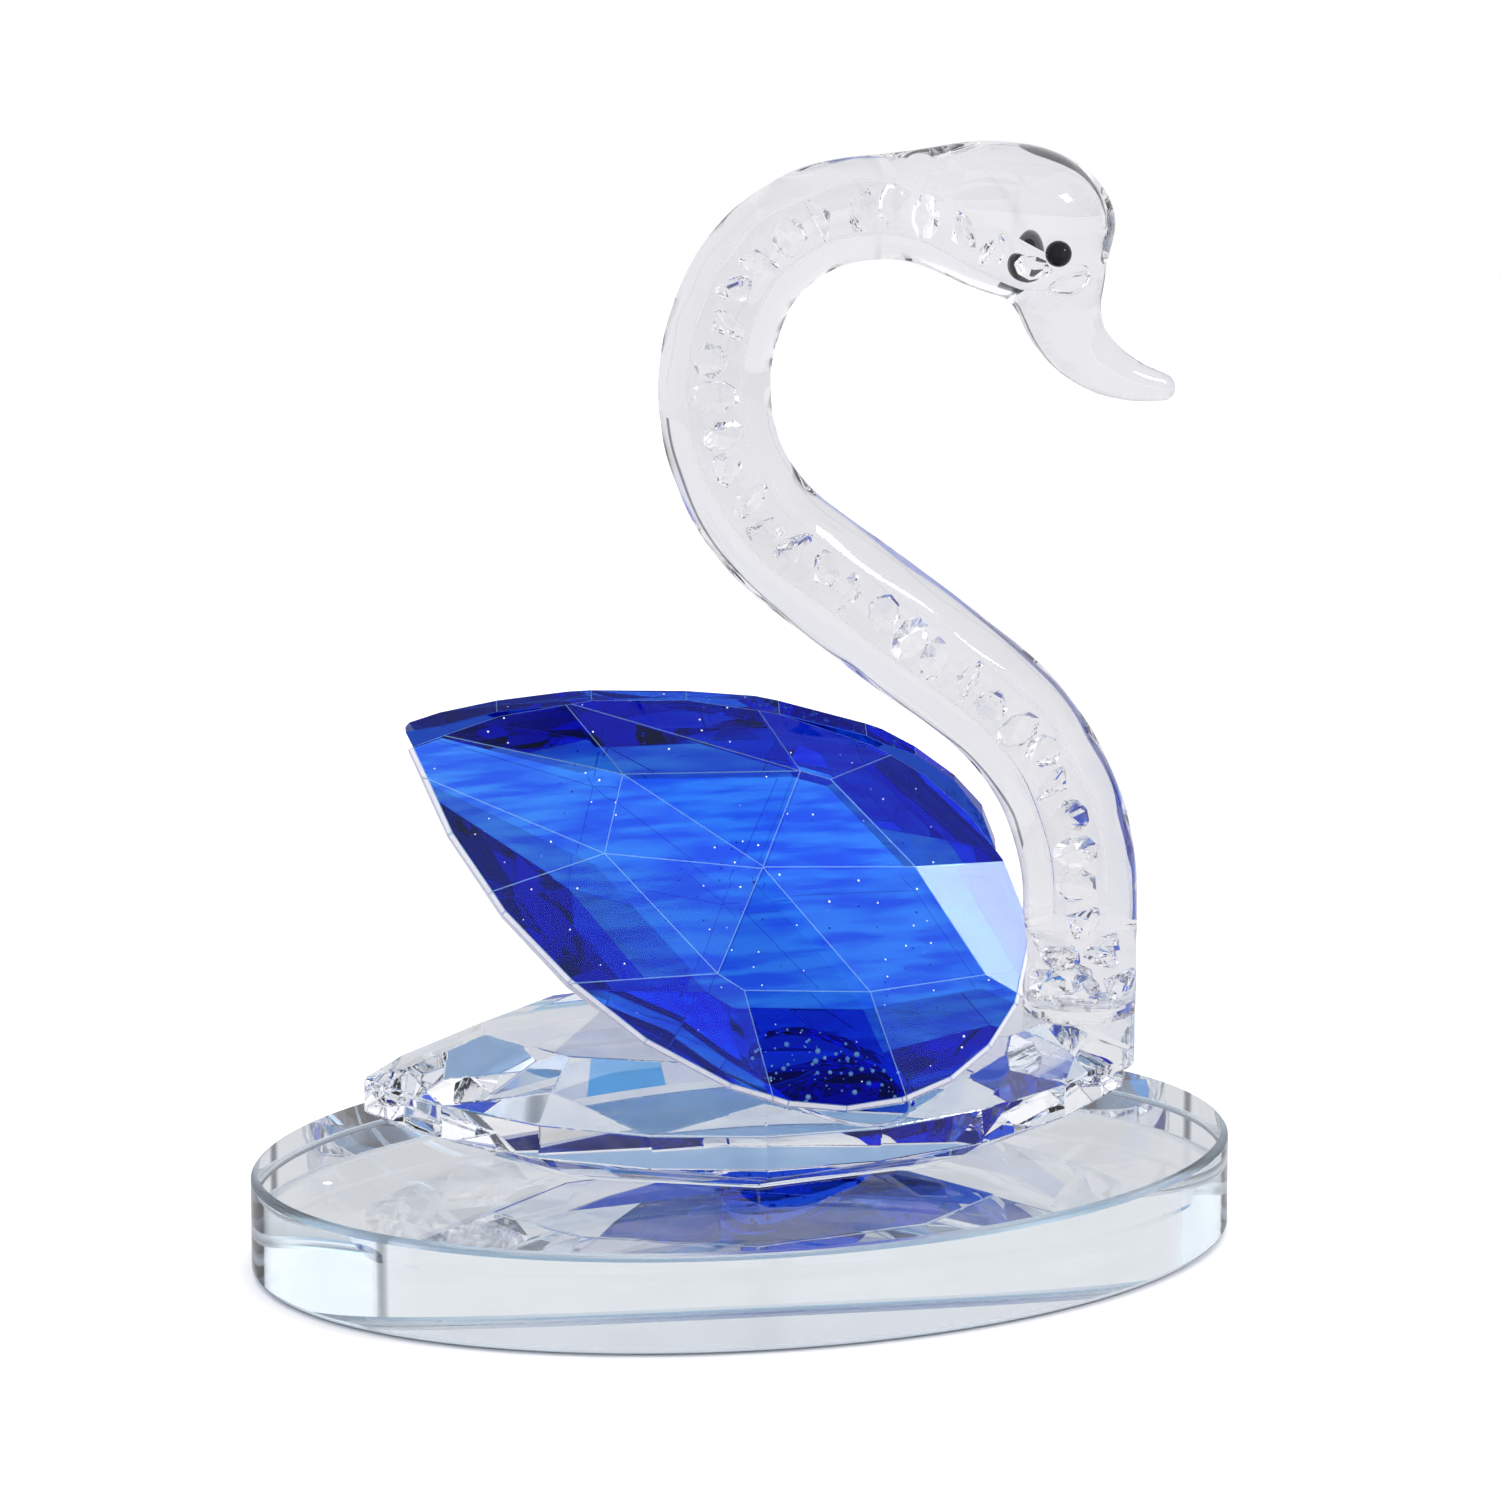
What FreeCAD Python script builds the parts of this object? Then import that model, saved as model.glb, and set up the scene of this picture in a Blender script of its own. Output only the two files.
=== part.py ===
import FreeCAD, Part

import math
import os
from itertools import combinations

from FreeCAD import Placement, Rotation, Vector

# A crystal swan: a faceted clear body between two blue faceted wings, glued to an oval
# glass plate, with a blown glass neck that holds a string of loose brilliant-cut stones.
# The origin is the centre of the plate's underside, +X runs along the plate to the head
# end and +Z is up. The swan's own frame stands on the plate's top face and is turned a
# little about +Z, because the swan is glued slightly askew. All sizes are millimetres.

SIZES = {
    "base_length": 114.6,
    "base_width": 71.6,
    "base_thickness": 12.0,
    "base_bevel": 0.8,
    "swan_yaw": -6.8,
    "body_half_length": 44.0,
    "body_half_width": 25.2,
    "body_glue_gap": 0.2,
    "body_girdle_low": 5.9,
    "body_girdle_high": 9.9,
    "body_table": 15.5,
    "wing_length": 74.9,
    "wing_half_width": 21.5,
    "wing_round_radius": 20.4,
    "wing_girdle": 1.9,
    "wing_lean": 28.8,
    "wing_droop": 26.0,
    "wing_toe": 1.8,
    "wing_inner_share": 0.75,
    "bore_radius": 2.15,
    "cup_radius": 5.1,
    "cup_depth": 9.4,
    "plug_thickness": 1.4,
    "stone_diameter": 4.0,
    "stone_pitch": 4.2,
    "glue_radius": 6.5,
    "eye_radius": 1.5,
}

WORK = FreeCAD.newDocument("crystal_swan")
nodes = {}


# ---------------------------------------------------------------- document helpers


def fill_sheet():
    """Put every driving size in the spreadsheet, one named cell each."""
    sheet = WORK.addObject("Spreadsheet::Sheet", "sizes")
    for row, (name, value) in enumerate(SIZES.items(), start=1):
        sheet.set(f"A{row}", name)
        sheet.set(f"B{row}", str(value))
        sheet.setAlias(f"B{row}", name)
    WORK.recompute()
    return sheet


def size(name):
    """The sheet's value of one driving size."""
    return float(getattr(WORK.sizes, name))


def swan_placement():
    """Where the swan's own frame stands: on the plate, turned about +Z."""
    turn = Rotation(Vector(0, 0, 1), size("swan_yaw"))
    return Placement(Vector(0, 0, size("base_thickness")), turn)


def keep(item, name, placement=None):
    """Name an object as one sub-part of the figurine and put it in its place."""
    item.Label = name
    if placement is not None:
        item.Placement = placement
    nodes[name] = item
    return item


def feature(shape, name):
    """A sub-part from a shape that Part's functions made in the swan's frame."""
    item = WORK.addObject("Part::Feature", name)
    item.Shape = shape
    return keep(item, name, swan_placement().multiply(shape.Placement))


def cut_away(keep_shape, *tools):
    """One shape less some others, as its single solid."""
    left = keep_shape.cut(list(tools))
    return max(left.Solids, key=lambda solid: solid.Volume)


def origin_plane(body, role):
    """One of a body's own origin planes."""
    return next(plane for plane in body.Origin.OriginFeatures if plane.Role == role)


def sketch_on(body, name, role):
    """A new sketch on one of a body's own origin planes."""
    sketch = body.newObject("Sketcher::SketchObject", name)
    sketch.AttachmentSupport = [(origin_plane(body, role), "")]
    sketch.MapMode = "FlatFace"
    return sketch


# ---------------------------------------------------------------- faceted stones


def facet(azimuth, tilt, point):
    """A cutting plane as (outward normal, distance): tilt 0 faces up, 90 faces sideways."""
    turn, lean = math.radians(azimuth), math.radians(tilt)
    normal = Vector(math.sin(lean) * math.cos(turn), math.sin(lean) * math.sin(turn), math.cos(lean))
    return normal, normal.dot(Vector(*point))


def facet_through(first, second, third):
    """The cutting plane through three corners, turned to face away from the stone's middle."""
    first, second, third = Vector(*first), Vector(*second), Vector(*third)
    normal = (second - first).cross(third - first)
    normal.normalize()
    if normal.z < 0:
        normal = -normal
    return normal, normal.dot(first)


def meeting_point(planes):
    """Where three planes meet, or None if two of them are nearly parallel."""
    (n1, d1), (n2, d2), (n3, d3) = planes
    spread = n1.dot(n2.cross(n3))
    if abs(spread) < 1e-7:
        return None
    return (n2.cross(n3) * d1 + n3.cross(n1) * d2 + n1.cross(n2) * d3) * (1.0 / spread)


def round_the_face(points, normal):
    """The corners of one facet in order around it."""
    middle = sum(points, Vector()) * (1.0 / len(points))
    side = (points[0] - middle).normalize()
    other = normal.cross(side)
    return sorted(points, key=lambda p: math.atan2((p - middle).dot(other), (p - middle).dot(side)))


def cut_stone(planes, slack=1e-5):
    """The convex solid that is left inside a set of cutting planes."""
    corners = [[] for _ in planes]
    for trio in combinations(range(len(planes)), 3):
        point = meeting_point([planes[i] for i in trio])
        if point is None or any(n.dot(point) > d + slack for n, d in planes):
            continue
        for i in trio:
            if all((point - other).Length > 1e-3 for other in corners[i]):
                corners[i].append(point)
    faces = []
    for (normal, _), points in zip(planes, corners):
        if len(points) < 3:
            continue
        ring = round_the_face(points, normal)
        faces.append(Part.Face(Part.makePolygon(ring + ring[:1])))
    skin = Part.Shell(faces)
    skin.sewShape()
    return Part.Solid(Part.Shell(skin.Faces))


def walls(outline):
    """Upright planes through each side of a closed outline that runs anticlockwise."""
    planes = []
    for (x0, y0), (x1, y1) in zip(outline, outline[1:] + outline[:1]):
        azimuth = math.degrees(math.atan2(x0 - x1, y1 - y0))
        planes.append(facet(azimuth, 90, (x0, y0, 0)))
    return planes


def side_azimuth(first, second):
    """The outward direction of the side from one outline corner to the next."""
    return math.degrees(math.atan2(first[0] - second[0], second[1] - first[1]))


# ---------------------------------------------------------------- base plate


def make_base_plate():
    """The oval glass plate, ground flat, with a small bevel round both rims."""
    body = WORK.addObject("PartDesign::Body", "base_plate")
    sketch = sketch_on(body, "base_outline", "XY_Plane")
    long_half, short_half = size("base_length") / 2, size("base_width") / 2
    ellipse = Part.Ellipse(Vector(long_half, 0, 0), Vector(0, short_half, 0), Vector(0, 0, 0))
    sketch.addGeometry(ellipse, False)
    pad = body.newObject("PartDesign::Pad", "base_slab")
    pad.Profile = sketch
    pad.setExpression("Length", "sizes.base_thickness")
    WORK.recompute()
    bevel = body.newObject("PartDesign::Chamfer", "base_rims")
    rims = [f"Edge{i}" for i, edge in enumerate(pad.Shape.Edges, 1) if edge.isClosed()]
    bevel.Base = (pad, rims)
    bevel.setExpression("Size", "sizes.base_bevel")
    WORK.recompute()
    return keep(body, "base_plate")


# ---------------------------------------------------------------- clear body crystal

BODY_SIDES = 8  # flat sides along each long edge of the almond
BODY_CENTRE = 0.3  # middle of the almond along X in the swan's frame
BODY_TOP_TILTS = (40, 29.5, 22)  # facets next to the girdle, kites up to the table, at the point
BODY_LOW_TILTS = (34, 25, 25)
HEAD_END_STEEPER = 16  # degrees more on the facets under the neck
HEAD_END_SHARE = 0.6  # of the half length, where those facets begin


def almond_outline():
    """The girdle seen from above: two arcs that meet in a point at each end."""
    half_length, half_width = size("body_half_length"), size("body_half_width")
    radius = (half_length**2 + half_width**2) / (2 * half_width)
    reach = math.asin(half_length / radius)
    angles = [reach - 2 * reach * k / BODY_SIDES for k in range(BODY_SIDES)]
    far = [(radius * math.sin(a), radius * math.cos(a) - radius + half_width) for a in angles]
    return [(BODY_CENTRE + x, y) for x, y in far] + [(BODY_CENTRE - x, -y) for x, y in far]


def body_facets(outline, level, tilts, up):
    """The facets on one face of the body: along each side, at every other corner, at the points."""
    beside, kite, point = tilts
    front = BODY_CENTRE + HEAD_END_SHARE * size("body_half_length")
    planes = []

    def add(azimuth, tilt, corner, reach):
        if up and reach > front:
            tilt += HEAD_END_STEEPER
        planes.append(facet(azimuth, tilt if up else 180 - tilt, (*corner, level)))

    for k, corner in enumerate(outline):
        after, before = outline[(k + 1) % len(outline)], outline[k - 1]
        add(side_azimuth(corner, after), beside, corner, (corner[0] + after[0]) / 2)
        if k % BODY_SIDES == 0:
            add(0 if corner[0] > 0 else 180, point, corner, corner[0])
        elif k % 2:
            add(side_azimuth(before, after), kite, corner, corner[0])
    return planes


def make_body_crystal():
    """The clear almond crystal: upright girdle, a flat table above and a flat foot below."""
    outline = almond_outline()
    planes = walls(outline)
    planes.append(facet(0, 0, (0, 0, size("body_table"))))
    planes.append(facet(0, 180, (0, 0, size("body_glue_gap"))))
    planes += body_facets(outline, size("body_girdle_high"), BODY_TOP_TILTS, True)
    planes += body_facets(outline, size("body_girdle_low"), BODY_LOW_TILTS, False)
    return feature(cut_stone(planes), "body_crystal")


# ---------------------------------------------------------------- blue wings

# Corners of the star on a wing's face: distance from the tip along the wing, distance
# above its long axis, and height above the middle of the girdle.
STAR = {
    "middle": (42.0, 2.2, 6.2),
    "top": (41.8, 14.5, 4.9),
    "top_end": (45.2, 14.9, 4.8),
    "right": (58.0, 9.5, 4.9),
    "end": (70.2, 1.4, 3.95),
    "low_right": (58.7, -5.9, 4.9),
    "low_end": (45.4, -11.3, 4.8),
    "low": (42.0, -10.9, 4.9),
    "left": (25.0, -3.1, 4.2),
    "high_left": (23.4, 6.2, 4.2),
    "fork": (36.7, 2.3, 5.6),
}
# Where the outer facets run out on the girdle's edge.
RIM = {
    "tip_high": (1.6, 2.6),
    "tip_low": (4.6, -4.2),
    "top": (34.0, 20.6),
    "top_right": (55.1, 20.2),
    "right": (68.5, 14.3),
    "low_right": (69.1, -13.4),
    "low": (52.0, -20.9),
    "low_left": (30.0, -19.3),
    "high_left": (14.0, 12.0),
    "left": (14.5, -12.2),
}
# Each outer facet goes through two corners of the star, or one, and the rim.
OUTER_FACETS = (
    (("star", "left"), ("star", "high_left"), ("rim", "tip_high")),
    (("star", "high_left"), ("rim", "high_left"), ("rim", "tip_high")),
    (("star", "high_left"), ("star", "top"), ("rim", "high_left")),
    (("star", "top"), ("rim", "top"), ("rim", "high_left")),
    (("star", "top"), ("star", "top_end"), ("rim", "top")),
    (("star", "top_end"), ("star", "right"), ("rim", "top_right")),
    (("star", "right"), ("star", "end"), ("rim", "right")),
    (("star", "end"), ("star", "low_right"), ("rim", "low_right")),
    (("star", "low_right"), ("star", "low_end"), ("rim", "low")),
    (("star", "low"), ("star", "low_end"), ("rim", "low_left")),
    (("star", "left"), ("star", "low"), ("rim", "left")),
    (("star", "left"), ("rim", "left"), ("rim", "tip_low")),
)
STAR_FACETS = (
    ("middle", "top", "right"),
    ("middle", "right", "low_right"),
    ("middle", "low_right", "low"),
    ("middle", "low", "left"),
    ("middle", "high_left", "top"),
    ("fork", "left", "high_left"),
)
WING_TIP = (-38.6, -5.5, 51.0)  # near wing's tip in the swan's frame
WING_LEFT_SHIFT = (0.4, -0.7, -0.6)  # the left wing is not glued quite square to the right one
WING_SHOULDER = 1.3  # depth of the round end, as a share of its radius
WING_ROUND_SIDES = 12
WING_LONG_SIDES = 5


def pear_outline():
    """The girdle of a wing: a round end and two long bowed sides that meet in a point."""
    length, radius = size("wing_length"), size("wing_round_radius")
    half_width = size("wing_half_width")
    # each long side is an arc through the tip that touches the widest place
    widest = length - radius * WING_SHOULDER
    bow = (widest**2 + half_width**2) / (2 * half_width)
    reach = math.asin(widest / bow)
    lower = []
    for k in range(WING_LONG_SIDES):
        angle = reach * (1 - k / WING_LONG_SIDES)
        lower.append((widest - bow * math.sin(angle), bow - half_width - bow * math.cos(angle)))
    end = []
    for k in range(WING_ROUND_SIDES + 1):
        angle = math.pi * (k / WING_ROUND_SIDES - 0.5)
        end.append((widest + (length - widest) * math.cos(angle), half_width * math.sin(angle)))
    upper = [(a, -b) for a, b in reversed(lower[1:])]
    return lower + end + upper


def wing_face(share):
    """The facets of one face of a wing, with heights scaled by share."""
    half_girdle = size("wing_girdle") / 2

    def corner(kind, name):
        if kind == "star":
            a, b, height = STAR[name]
            return a, b, half_girdle + (height - half_girdle) * share
        a, b = RIM[name]
        return a, b, half_girdle

    planes = [facet_through(*(corner("star", n) for n in names)) for names in STAR_FACETS]
    planes += [facet_through(*(corner(*spot) for spot in spots)) for spots in OUTER_FACETS]
    return planes


def turned_over(planes):
    """The same facets on the stone's other face."""
    return [(Vector(n.x, n.y, -n.z), d) for n, d in planes]


def wing_stone():
    """A wing in its own frame: tip at the origin, +X to the round end, +Z outward."""
    planes = walls(pear_outline())
    planes += wing_face(1.0)
    planes += turned_over(wing_face(size("wing_inner_share")))
    return cut_stone(planes)


def wing_frame():
    """Where the near wing sits in the swan's frame."""
    toe, lean = math.radians(size("wing_toe")), math.radians(size("wing_lean"))
    droop = math.radians(size("wing_droop"))
    along = Vector(math.cos(toe), math.sin(toe), 0)
    outward = Vector(math.sin(toe) * math.cos(lean), -math.cos(toe) * math.cos(lean), math.sin(lean))
    up = outward.cross(along)
    axis = along * math.cos(droop) - up * math.sin(droop)
    side = along * math.sin(droop) + up * math.cos(droop)
    frame = FreeCAD.Matrix(
        axis.x, side.x, outward.x, WING_TIP[0],
        axis.y, side.y, outward.y, WING_TIP[1],
        axis.z, side.z, outward.z, WING_TIP[2],
        0, 0, 0, 1,
    )
    return Placement(frame)


def mirrored(shape):
    """The same shape on the swan's other side, where the left wing sits."""
    other = shape.mirror(Vector(0, 0, 0), Vector(0, 1, 0))
    other.translate(Vector(*WING_LEFT_SHIFT))
    return other


def make_wings():
    """The right wing stands on the near side, -Y, and the left wing is its mirror image."""
    right = wing_stone()
    right.Placement = wing_frame()
    feature(right, "wing_right")
    feature(mirrored(right), "wing_left")


# ---------------------------------------------------------------- neck

NECK_START = (39.1, 15.5)  # X and Z of the tube's foot in the swan's frame
NECK_RUNS = (  # straight runs as (length,), bends as (radius, turn in degrees)
    (13.3,),
    (33.6, 51.4),
    (25.7,),
    (25.3, -79.3),
    (16.3, -47.6),
    (20.6, -40.5),
    (13.0,),
)
NECK_RADII = ((0.0, 6.55), (0.2, 6.7), (0.4, 7.0), (0.6, 6.4), (0.8, 6.0), (0.93, 5.75), (1.0, 5.1))
NECK_STATION = 4.0  # distance between the sections the tube is drawn through
BORE_END_WALL = 2.4  # glass left at the closed end of the tube
CAP_TURNS = (22, 42, 60, 74, 84)  # where the rounded end's sections lie, in degrees


class Route:
    """The neck's centre line: straight runs and bends in the swan's X-Z plane."""

    def __init__(self):
        self.pieces = []
        place, heading, gone = Vector(NECK_START[0], 0, NECK_START[1]), 90.0, 0.0
        for run in NECK_RUNS:
            length = run[0] if len(run) == 1 else run[0] * math.radians(abs(run[1]))
            bend = 0.0 if len(run) == 1 else run[1] / length
            self.pieces.append((gone, place, heading, bend))
            place, heading = self.step(place, heading, bend, length)
            gone += length
        self.length = gone

    @staticmethod
    def step(place, heading, bend, distance):
        """Move along a straight run or a bend of so many degrees per millimetre."""
        start = math.radians(heading)
        if bend == 0.0:
            return place + Vector(math.cos(start), 0, math.sin(start)) * distance, heading
        end = math.radians(heading + bend * distance)
        radius = 1 / math.radians(bend)
        across = math.sin(end) - math.sin(start)
        rise = math.cos(start) - math.cos(end)
        return place + Vector(across * radius, 0, rise * radius), heading + bend * distance

    def at(self, distance):
        """The point on the centre line and its heading, in degrees, at a distance from the foot."""
        piece = next(piece for piece in reversed(self.pieces) if distance >= piece[0])
        gone, place, heading, bend = piece
        return self.step(place, heading, bend, distance - gone)


def direction(heading):
    """The unit vector of a heading in the swan's X-Z plane."""
    turn = math.radians(heading)
    return Vector(math.cos(turn), 0, math.sin(turn))


def neck_radius(share):
    """The tube's outer radius at a share of its length."""
    for (s0, r0), (s1, r1) in zip(NECK_RADII, NECK_RADII[1:]):
        if share <= s1:
            blend = (share - s0) / (s1 - s0)
            smooth = blend * blend * (3 - 2 * blend)
            return r0 + (r1 - r0) * smooth
    return NECK_RADII[-1][1]


def ring(centre, heading, radius):
    """A circular section square to a heading."""
    return Part.Wire(Part.makeCircle(radius, centre, direction(heading)))


def rounded_end(centre, heading, radius):
    """Shrinking sections that close a round bar with a half ball."""
    angles = [math.radians(turn) for turn in CAP_TURNS]
    forward = direction(heading)
    return [ring(centre + forward * (radius * math.sin(a)), heading, radius * math.cos(a)) for a in angles]


def tube_outside(route):
    """The solid that the tube fills, with its end closed by a round cap."""
    count = round(route.length / NECK_STATION)
    sections = []
    for k in range(count + 1):
        share = k / count
        centre, heading = route.at(share * route.length)
        sections.append(ring(centre, heading, neck_radius(share)))
    return Part.makeLoft(sections + rounded_end(*route.at(route.length), neck_radius(1.0)), True, True)


def tube_bore(route):
    """The space inside the tube: a wide cup at the foot and a narrow bore above it."""
    wide, narrow = size("cup_radius"), size("bore_radius")
    neck_of_cup = size("cup_depth") + wide - narrow
    sections = [ring(*route.at(0.0), wide), ring(*route.at(size("cup_depth")), wide)]
    length = bore_end(route) - neck_of_cup
    count = round(length / NECK_STATION)
    for k in range(count + 1):
        sections.append(ring(*route.at(neck_of_cup + length * k / count), narrow))
    return Part.makeLoft(sections, True, True)


def bore_end(route):
    """How far along the centre line the bore runs."""
    return route.length + neck_radius(1.0) - BORE_END_WALL


def make_foot_plug():
    """The clear resin disc that shuts the wide cup at the tube's foot."""
    plug = WORK.addObject("Part::Cylinder", "foot_plug")
    plug.setExpression("Radius", "sizes.cup_radius")
    plug.setExpression("Height", "sizes.plug_thickness")
    local = Placement(Vector(NECK_START[0], 0, NECK_START[1]), Rotation())
    return keep(plug, "foot_plug", swan_placement().multiply(local))


# ---------------------------------------------------------------- head, beak and eyes

HEAD_CENTRE = (31.4, 0, 110.2)  # where the head is widest
HEAD_NOD = -12.8  # the head's axis, degrees from level
HEAD_FRONT = 11.1  # from the widest place to the front
HEAD_RADIUS = 8.05
HEAD_BACK_ARC = 26.0  # radius of the arc that runs back to the neck
BEAK_SECTIONS = (  # X, Z, heading and radius
    (35.6, 101.6, -66, 5.0),
    (36.5, 98.2, -62, 4.45),
    (38.0, 95.1, -51, 3.75),
    (40.9, 92.3, -34, 3.1),
    (44.4, 90.5, -20, 2.35),
    (47.9, 89.6, -8, 1.6),
)
EYE_PLACES = {"eye_right": (34.9, -8.1, 107.7), "eye_left": (32.8, 8.3, 106.0)}


def head_egg():
    """The gather of glass that makes the head, before the tube is taken out of it."""
    body = WORK.addObject("PartDesign::Body", "head_egg")
    sketch = sketch_on(body, "head_profile", "XZ_Plane")
    back = -math.sqrt(HEAD_BACK_ARC**2 - (HEAD_BACK_ARC - HEAD_RADIUS) ** 2)
    crown = Vector(0, HEAD_RADIUS, 0)
    front = Vector(HEAD_FRONT, 0, 0)
    ellipse = Part.Ellipse(front, crown, Vector(0, 0, 0))
    sketch.addGeometry(Part.ArcOfEllipse(ellipse, 0, math.pi / 2), False)
    circle = Part.Circle(Vector(0, HEAD_RADIUS - HEAD_BACK_ARC, 0), Vector(0, 0, 1), HEAD_BACK_ARC)
    lean = math.acos((HEAD_BACK_ARC - HEAD_RADIUS) / HEAD_BACK_ARC)
    sketch.addGeometry(Part.ArcOfCircle(circle, math.pi / 2, math.pi / 2 + lean), False)
    sketch.addGeometry(Part.LineSegment(Vector(back, 0, 0), front), False)
    turn = body.newObject("PartDesign::Revolution", "head_turn")
    turn.Profile = sketch
    turn.ReferenceAxis = (sketch, ["H_Axis"])
    turn.Angle = 360
    WORK.recompute()
    shape = body.Shape.copy()
    shape.Placement = Placement(Vector(*HEAD_CENTRE), Rotation(Vector(0, 1, 0), -HEAD_NOD))
    return shape


def beak_shape():
    """The drawn-out beak: round sections that thin to a small rounded tip."""
    sections = [ring(Vector(x, 0, z), heading, radius) for x, z, heading, radius in BEAK_SECTIONS]
    x, z, heading, radius = BEAK_SECTIONS[-1]
    return Part.makeLoft(sections + rounded_end(Vector(x, 0, z), heading, radius), True, True)


def make_head(outside, bore):
    """The tube with its bore, and the head, beak and eyes fused to its closed end."""
    tube = cut_away(outside, bore)
    feature(tube, "neck_tube")
    head = cut_away(head_egg(), outside)
    beak = cut_away(beak_shape(), outside, head)
    feature(head, "head")
    feature(beak, "beak")
    for name, place in EYE_PLACES.items():
        ball = Part.makeSphere(size("eye_radius"), Vector(*place))
        feature(cut_away(ball, head, outside), name)


# ---------------------------------------------------------------- loose stones

STONE_SIDES = 8
CROWN_TILT = 36
PAVILION_TILT = 42
STONE_TABLE_SHARE = 0.58  # of the diameter
STONE_PLAY = 0.1
CUP_RINGS = 2
CUP_RING_STONES = 4
SPIN_STEP = 137.5  # degrees from one stone to the next
LEAN_STEP = 97.0
LEAST_LEAN = 35
LEAN_RANGE = 110


def brilliant():
    """A small eight-sided brilliant about its own middle: table up, point down."""
    radius = size("stone_diameter") / 2
    flat = radius * math.cos(math.pi / STONE_SIDES)
    crown = (flat - radius * STONE_TABLE_SHARE) * math.tan(math.radians(CROWN_TILT))
    girdle = 0.08 * radius
    planes = [facet(0, 0, (0, 0, girdle + crown))]
    for k in range(STONE_SIDES):
        turn = 360 / STONE_SIDES * k
        edge = (flat * math.cos(math.radians(turn)), flat * math.sin(math.radians(turn)))
        planes.append(facet(turn, 90, (*edge, 0)))
        planes.append(facet(turn, CROWN_TILT, (*edge, girdle)))
        planes.append(facet(turn, 180 - PAVILION_TILT, (*edge, -girdle)))
    stone = cut_stone(planes)
    depth = flat * math.tan(math.radians(PAVILION_TILT))
    stone.translate(Vector(0, 0, (depth - crown) / 2))
    return stone


def tumbled(index):
    """A turn that looks like chance but is the same each time for one stone."""
    spin = Rotation(Vector(0, 0, 1), SPIN_STEP * index)
    lean = Rotation(Vector(1, 0, 0), LEAST_LEAN + LEAN_STEP * index % LEAN_RANGE)
    return spin.multiply(lean)


def cup_places():
    """Where the stones in the wide cup lie: rings that sit over each other's gaps."""
    radius = size("cup_radius") - size("stone_diameter") / 2 - STONE_PLAY
    low = size("plug_thickness") + size("stone_diameter") / 2 + STONE_PLAY
    for level in range(CUP_RINGS):
        for k in range(CUP_RING_STONES):
            turn = 2 * math.pi * (k + level / 2) / CUP_RING_STONES
            height = NECK_START[1] + low + level * size("stone_pitch")
            yield Vector(NECK_START[0] + radius * math.cos(turn), radius * math.sin(turn), height)


def bore_places(route):
    """Where the stones in the narrow bore lie, one after another up the neck."""
    first = size("cup_depth") + size("stone_diameter") / 2
    last = bore_end(route) - size("stone_diameter") / 2 - STONE_PLAY
    count = int((last - first) / size("stone_pitch")) + 1
    for k in range(count):
        yield route.at(first + k * size("stone_pitch"))[0]


def make_stones(route):
    """Every loose stone, each one its own piece."""
    stone = brilliant()
    groups = (("foot_stone", list(cup_places())), ("neck_stone", list(bore_places(route))))
    for group, places in groups:
        for k, place in enumerate(places, start=1):
            loose = stone.copy()
            loose.Placement = Placement(place, tumbled(k + len(group))).multiply(stone.Placement)
            feature(loose, f"{group}_{k:02d}")


# ---------------------------------------------------------------- glue

WING_GLUE_PLACE = (58.5, -15.0)  # on the wing, as the star's corners are given
WING_GLUE_HALF = (10.0, 5.0)
WING_GLUE_REACH = 7.5
NECK_GLUE_SINK = 0.6  # how far the neck's glue starts below the top of the girdle


def make_glue(body, wing_right):
    """The set glue: under the body, under the tube's foot, and behind each wing."""
    film = body.slice(Vector(0, 0, 1), size("body_glue_gap") + 0.01)[0]
    pad = Part.Face(film).extrude(Vector(0, 0, size("body_glue_gap")))
    pad.translate(Vector(0, 0, -pad.BoundBox.ZMin))
    feature(pad, "body_glue")

    foot = Vector(NECK_START[0], 0, size("body_girdle_high") - NECK_GLUE_SINK)
    height = NECK_START[1] - foot.z
    column = Part.makeCylinder(size("glue_radius"), height, foot)
    feature(cut_away(column, body), "neck_glue")

    blob = Part.Ellipse(Vector(0, 0, 0), *WING_GLUE_HALF).toShape()
    blob = Part.Face(Part.Wire(blob)).extrude(Vector(0, 0, -WING_GLUE_REACH))
    blob.translate(Vector(*WING_GLUE_PLACE, 0))
    blob.Placement = wing_frame().multiply(blob.Placement)
    feature(cut_away(blob, body, wing_right), "wing_glue_right")
    feature(cut_away(mirrored(blob), body, mirrored(wing_right)), "wing_glue_left")


# ---------------------------------------------------------------- build and write


def check_document():
    """Stop with a plain message if any object failed or a sub-part has no valid solid."""
    for item in WORK.Objects:
        state = set(item.State)
        if state & {"Invalid", "Error"}:
            raise RuntimeError(f"{item.Label} failed: {sorted(state)}")
    for name, item in nodes.items():
        if item.Shape.isNull() or not item.Shape.isValid() or item.Shape.Volume <= 0:
            raise RuntimeError(f"{name} has no valid shape")


def main():
    fill_sheet()
    make_base_plate()
    body = make_body_crystal()
    make_wings()
    route = Route()
    outside, bore = tube_outside(route), tube_bore(route)
    make_head(outside, bore)
    make_foot_plug()
    make_stones(route)
    flat = swan_placement().inverse()
    local_body = body.Shape.transformed(flat.toMatrix())
    local_wing = nodes["wing_right"].Shape.transformed(flat.toMatrix())
    make_glue(local_body, local_wing)
    WORK.recompute()
    check_document()
    os.makedirs("parts", exist_ok=True)
    for name, item in nodes.items():
        item.Shape.exportStep(f"parts/{name}.step")
    print(f"{len(nodes)} sub-parts, neck centre line {route.length:.1f} mm")


main()
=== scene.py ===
import math

import bmesh
import bpy
import numpy as np
from mathutils import Matrix, Vector
from mathutils.bvhtree import BVHTree


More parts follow.
